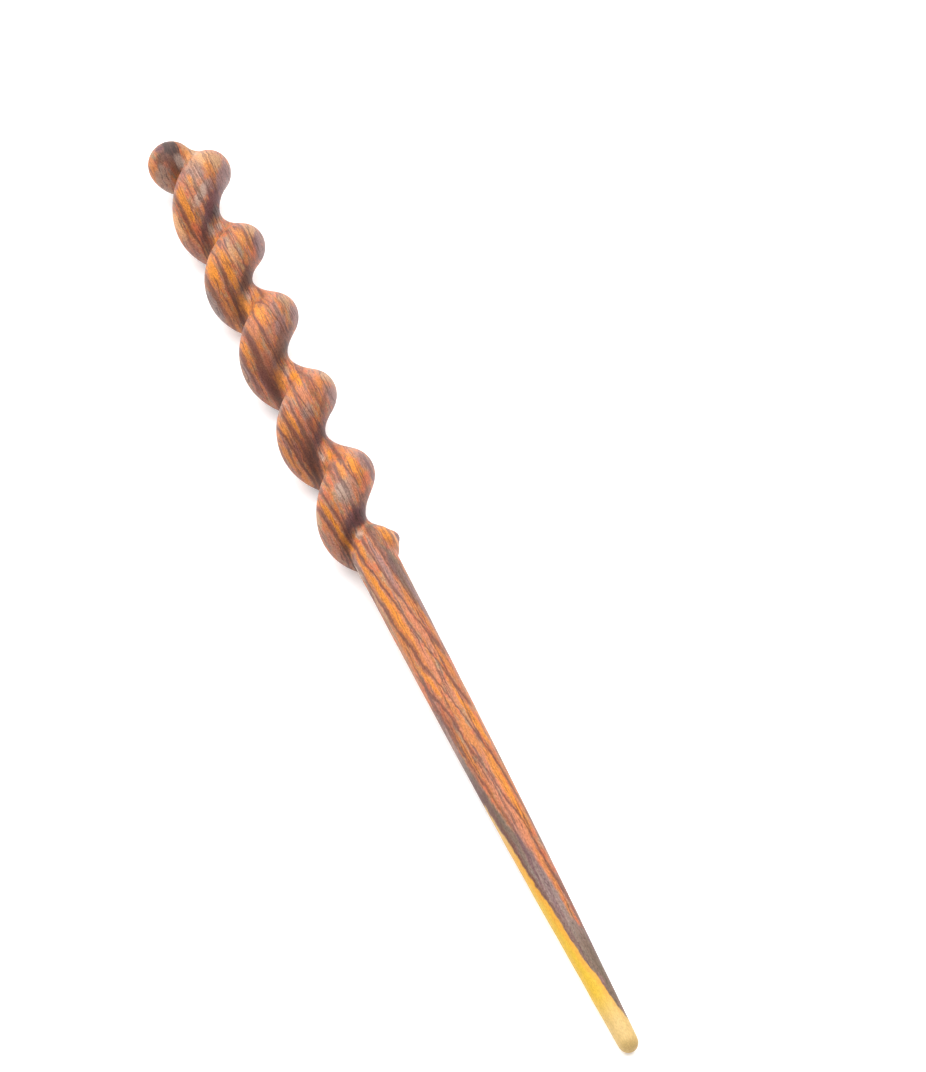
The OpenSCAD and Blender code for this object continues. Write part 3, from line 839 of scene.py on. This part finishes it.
# A colour curve reads up to three lists of (along, value) at once
def lineCurves(tree, alongColor, columns):
    node = addNode(tree, "ShaderNodeRGBCurve", {"Color": alongColor})
    for curve, points in zip(node.mapping.curves, columns):
        rows = [((x + halfLength) / (2 * halfLength), value) for x, value in points]
        curve.points[0].location = rows[0]
        curve.points[1].location = rows[-1]
        for row in rows[1:-1]:
            curve.points.new(*row)
    node.mapping.extend = "HORIZONTAL"
    node.mapping.update()
    return addNode(tree, "ShaderNodeSeparateColor", {"Color": node.outputs[0]}).outputs


# A curve's values lie between 0 and 1
def toPart(side):
    return (side + farAcross) / (2 * farAcross)


def fromPart(tree, part):
    return calc(tree, "MULTIPLY_ADD", part, 2 * farAcross, -farAcross)


def blendColor(tree, factor, below, above):
    node = addNode(tree, "ShaderNodeMix", data_type="RGBA")
    plug(tree, node.inputs[0], factor)
    for socket, value in ((node.inputs[6], below), (node.inputs[7], above)):
        plug(tree, socket, value if isinstance(value, bpy.types.NodeSocket) else (*value, 1.0))
    return node.outputs[2]


def makeWood():
    material = bpy.data.materials.new("stripedWood")
    material.use_nodes = True
    tree = material.node_tree
    tree.nodes.clear()
    m = partial(calc, tree)
    place = layerPlace(tree, addNode(tree, "ShaderNodeTexCoord").outputs["Object"])
    split = addNode(tree, "ShaderNodeSeparateXYZ", {"Vector": place}).outputs
    along, across = split["X"], split["Y"]
    alongPart = m("DIVIDE", m("ADD", along, halfLength), 2 * halfLength)
    alongColor = addNode(tree, "ShaderNodeCombineColor", {
        "Red": alongPart, "Green": alongPart, "Blue": alongPart}).outputs[0]

    def grain(name):
        length, width, depth, seed, detail, roughness = grains[name]
        squeezed = calcVector(tree, "MULTIPLY", place, (1 / length, 1 / width, 1 / depth))
        return addNode(tree, "ShaderNodeTexNoise", {
            "Vector": squeezed, "W": seed, "Scale": 1.0, "Detail": detail, "Roughness": roughness},
            noise_dimensions="4D").outputs["Fac"]

    signals = {name: grain(name) for name in grains if name != "pores"}
    signals["along"] = along
    fray, fine, speck = signals["fray"], signals["fine"], signals["speck"]

    def tinted(color, tints):
        for tone, signal, low, high, strength in tints:
            factor = m("MULTIPLY", smoothStep(tree, signals[signal], low, high), strength)
            color = blendColor(tree, factor, color, wood[tone])
        return color

    def spreadOver(signal, ends):
        return addNode(tree, "ShaderNodeMapRange", {
            "Value": signal, "From Min": usual[0], "From Max": usual[1],
            "To Min": ends[0], "To Max": ends[1]}).outputs["Result"]

    # Ground colour between the veins, with soft streaks along the layers
    color = tinted(wood["orange"], groundTints)
    # The patches include painted shade along the creases and right rims, and painted highlights on the turns'
    # fronts
    patch = patchGroup()
    for x, side, halfRun, halfWidth, drift, tone, strength in patches:
        mask = addNode(tree, "ShaderNodeGroup", {
            "Along": along, "Across": across, "Place": x, "Side": side, "Half Length": halfRun,
            "Half Width": halfWidth, "Drift": drift, "Strength": strength, "Fray": fray},
            node_tree=patch).outputs["Mask"]
        color = blendColor(tree, mask, color, wood[tone])

    # Dark veins, the strongest one counting at each place
    vein = veinGroup()
    dark, halo = 0.0, 0.0
    for strength, rows in veins:
        read = lineCurves(tree, alongColor, [[(x, toPart(side)) for x, side, width in rows],
                                             [(x, width) for x, side, width in rows]])
        one = addNode(tree, "ShaderNodeGroup", {
            "Along": along, "Across": across, "Line": fromPart(tree, read[0]), "Half Width": read[1],
            "Strength": strength, "Start": rows[0][0], "End": rows[-1][0], "Fray": fray}, node_tree=vein)
        dark = m("MAXIMUM", dark, one.outputs["Mask"])
        halo = m("MAXIMUM", halo, one.outputs["Halo"])
    thin = smoothStep(tree, fine, *wood["fineStreaks"])
    broad = m("MULTIPLY", smoothStep(tree, signals["figure"], *wood["broadStreaks"]), wood["broadPart"])
    streaks = m("MULTIPLY", m("MAXIMUM", thin, broad), wood["streaks"])
    color = blendColor(tree, m("MULTIPLY", halo, wood["halos"]), color, wood["russet"])
    color = blendColor(tree, m("MAXIMUM", m("MULTIPLY", dark, wood["veins"]), streaks), color, wood["brown"])

    # Grey band, brown beside the sapwood until the band narrows
    lines = lineCurves(tree, alongColor, [[(x, toPart(side)) for x, side in line]
                                          for line in (sapwoodLine, greyLine)])
    sapEdge, greyEdge = [m("SUBTRACT", fromPart(tree, lines[k]), across) for k in (0, 1)]
    ragged = m("MULTIPLY", m("SUBTRACT", fray, 0.5), wood["raggedness"])
    greyTone = tinted(wood["grey"], greyTints)
    brownBand = m("MULTIPLY", smoothStep(tree, sapEdge, *wood["brownEdge"]),
                  smoothStep(tree, along, *wood["brownTo"]))
    greyTone = blendColor(tree, m("MULTIPLY", brownBand, wood["brownPart"]), greyTone, wood["brown"])
    grey = m("MULTIPLY", smoothStep(tree, m("ADD", greyEdge, ragged), *wood["greyEdge"]),
             smoothStep(tree, along, *wood["greyFrom"]))
    color = blendColor(tree, m("MULTIPLY", grey, wood["greyPart"]), color, greyTone)

    # Sapwood, amber at its edge and pale at both its ends
    raggedSap = m("ADD", sapEdge, m("MULTIPLY", ragged, wood["raggedSapwood"]))
    sap = m("MULTIPLY", smoothStep(tree, raggedSap, *wood["sapwoodEdge"]),
            smoothStep(tree, along, *wood["sapwoodFrom"]))
    paleness = m("MAXIMUM", smoothStep(tree, along, *wood["paleFrom"]),
                 m("MULTIPLY", smoothStep(tree, along, *wood["paleTo"]), wood["paleStart"]))
    amber = smoothStep(tree, sapEdge, *wood["amberEdge"])
    sapTone = blendColor(tree, amber, wood["sapwood"], wood["amber"])
    sapTone = blendColor(tree, paleness, sapTone, wood["paleTip"])
    threads = m("MULTIPLY", smoothStep(tree, fine, *wood["threads"]), wood["threadPart"])
    sapTone = blendColor(tree, threads, sapTone, wood["orange"])
    color = blendColor(tree, sap, color, sapTone)

    # Painted shade darkens the creases on the walls that face the tip, least on the right, and every fibre
    # has its own tone
    paintedCreaseShade = m("MULTIPLY", addNode(tree, "ShaderNodeAttribute", attribute_name="paintedCreaseShade").outputs["Fac"],
               smoothStep(tree, along, *wood["creaseShadeFrom"]))
    paintedCreaseShade = m("MULTIPLY", paintedCreaseShade, smoothStep(tree, across, *wood["creaseShadeEdge"]))
    shade = spreadOver(speck, wood["fibreShade"])
    shade = m("MULTIPLY_ADD", m("SUBTRACT", 1, shade), m("MULTIPLY", sap, wood["calmSapwood"]), shade)
    shade = m("MULTIPLY", shade, m("SUBTRACT", 1, m("MULTIPLY", paintedCreaseShade, wood["creaseShadeStrength"])))
    color = addNode(tree, "ShaderNodeVectorMath", {0: color, "Scale": shade}, operation="SCALE").outputs[0]

    # Pores and fibres stand in low relief
    pores = smoothStep(tree, grain("pores"), *wood["pores"])
    height = m("SUBTRACT", m("MULTIPLY", m("ADD", fine, speck), wood["fibreRelief"]), pores)
    bump = addNode(tree, "ShaderNodeBump", {
        "Strength": wood["reliefStrength"], "Distance": wood["relief"], "Height": height})
    rough = spreadOver(signals["clouds"], wood["roughness"])
    shader = addNode(tree, "ShaderNodeBsdfPrincipled", {
        "Base Color": color, "Roughness": m("ADD", rough, m("MULTIPLY", pores, wood["poreRoughness"])),
        "Specular IOR Level": wood["gloss"], "Normal": bump.outputs["Normal"]})
    output = addNode(tree, "ShaderNodeOutputMaterial")
    tree.links.new(shader.outputs[0], output.inputs["Surface"])
    print("wood ready:", len(veins), "veins,", len(patches), "patches")
    return material


stickWood = makeStick(makeWood())
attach(stickWood, "root")
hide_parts("stick")


# Floor and soft studio light
studio = {
    "floorSize": 4.0,
    "floorColor": (0.86, 0.86, 0.865),
    "floorRoughness": 0.9,
    "floorGlow": 0.30,                    # a light table's
    "dimSky": 0.30,
    "brightSky": 4.8,                     # towards the window, from the knob's side
    "window": (-0.60, -0.12, 0.79),
    "windowFocus": 3.5,                   # how fast the sky darkens away from the window
    "softbox": (0.22, 0.45, 0.78),
    "softboxDistance": 0.8,
    "softboxSize": 0.4,
    "softboxPower": 2.4,
}


def makeStudio():
    half = studio["floorSize"] / 2
    mesh = bpy.data.meshes.new("floor")
    corners = [(-half, -half, 0), (half, -half, 0), (half, half, 0), (-half, half, 0)]
    mesh.from_pydata(corners, [], [(0, 1, 2, 3)])
    floor = bpy.data.objects.new("floor", mesh)
    scene.collection.objects.link(floor)
    paper = bpy.data.materials.new("whitePaper")
    paper.use_nodes = True
    sheet = paper.node_tree.nodes["Principled BSDF"]
    sheet.inputs["Base Color"].default_value = (*studio["floorColor"], 1)
    sheet.inputs["Roughness"].default_value = studio["floorRoughness"]
    sheet.inputs["Emission Color"].default_value = (1, 1, 1, 1)
    sheet.inputs["Emission Strength"].default_value = studio["floorGlow"]
    mesh.materials.append(paper)

    world = bpy.data.worlds.new("softSky")
    world.use_nodes = True
    tree = world.node_tree
    background = tree.nodes["Background"]
    background.inputs["Color"].default_value = (1, 1, 1, 1)
    direction = addNode(tree, "ShaderNodeTexCoord").outputs["Generated"]
    towards = addNode(tree, "ShaderNodeVectorMath", {0: direction, 1: studio["window"]},
                      operation="DOT_PRODUCT").outputs["Value"]
    glow = calc(tree, "POWER", calc(tree, "MAXIMUM", towards, 0), studio["windowFocus"])
    plug(tree, background.inputs["Strength"],
         calc(tree, "MULTIPLY_ADD", glow, studio["brightSky"], studio["dimSky"]))
    scene.world = world

    toLight = Vector(studio["softbox"]).normalized()
    lamp = bpy.data.lights.new("softbox", "AREA")
    lamp.shape = "DISK"
    lamp.size = studio["softboxSize"]
    lamp.energy = studio["softboxPower"]
    light = bpy.data.objects.new("softbox", lamp)
    light.location = toLight * studio["softboxDistance"]
    light.rotation_euler = toLight.to_track_quat("Z", "Y").to_euler()
    scene.collection.objects.link(light)
    scene.view_settings.view_transform = "Standard"


makeStudio()
print("studio ready")
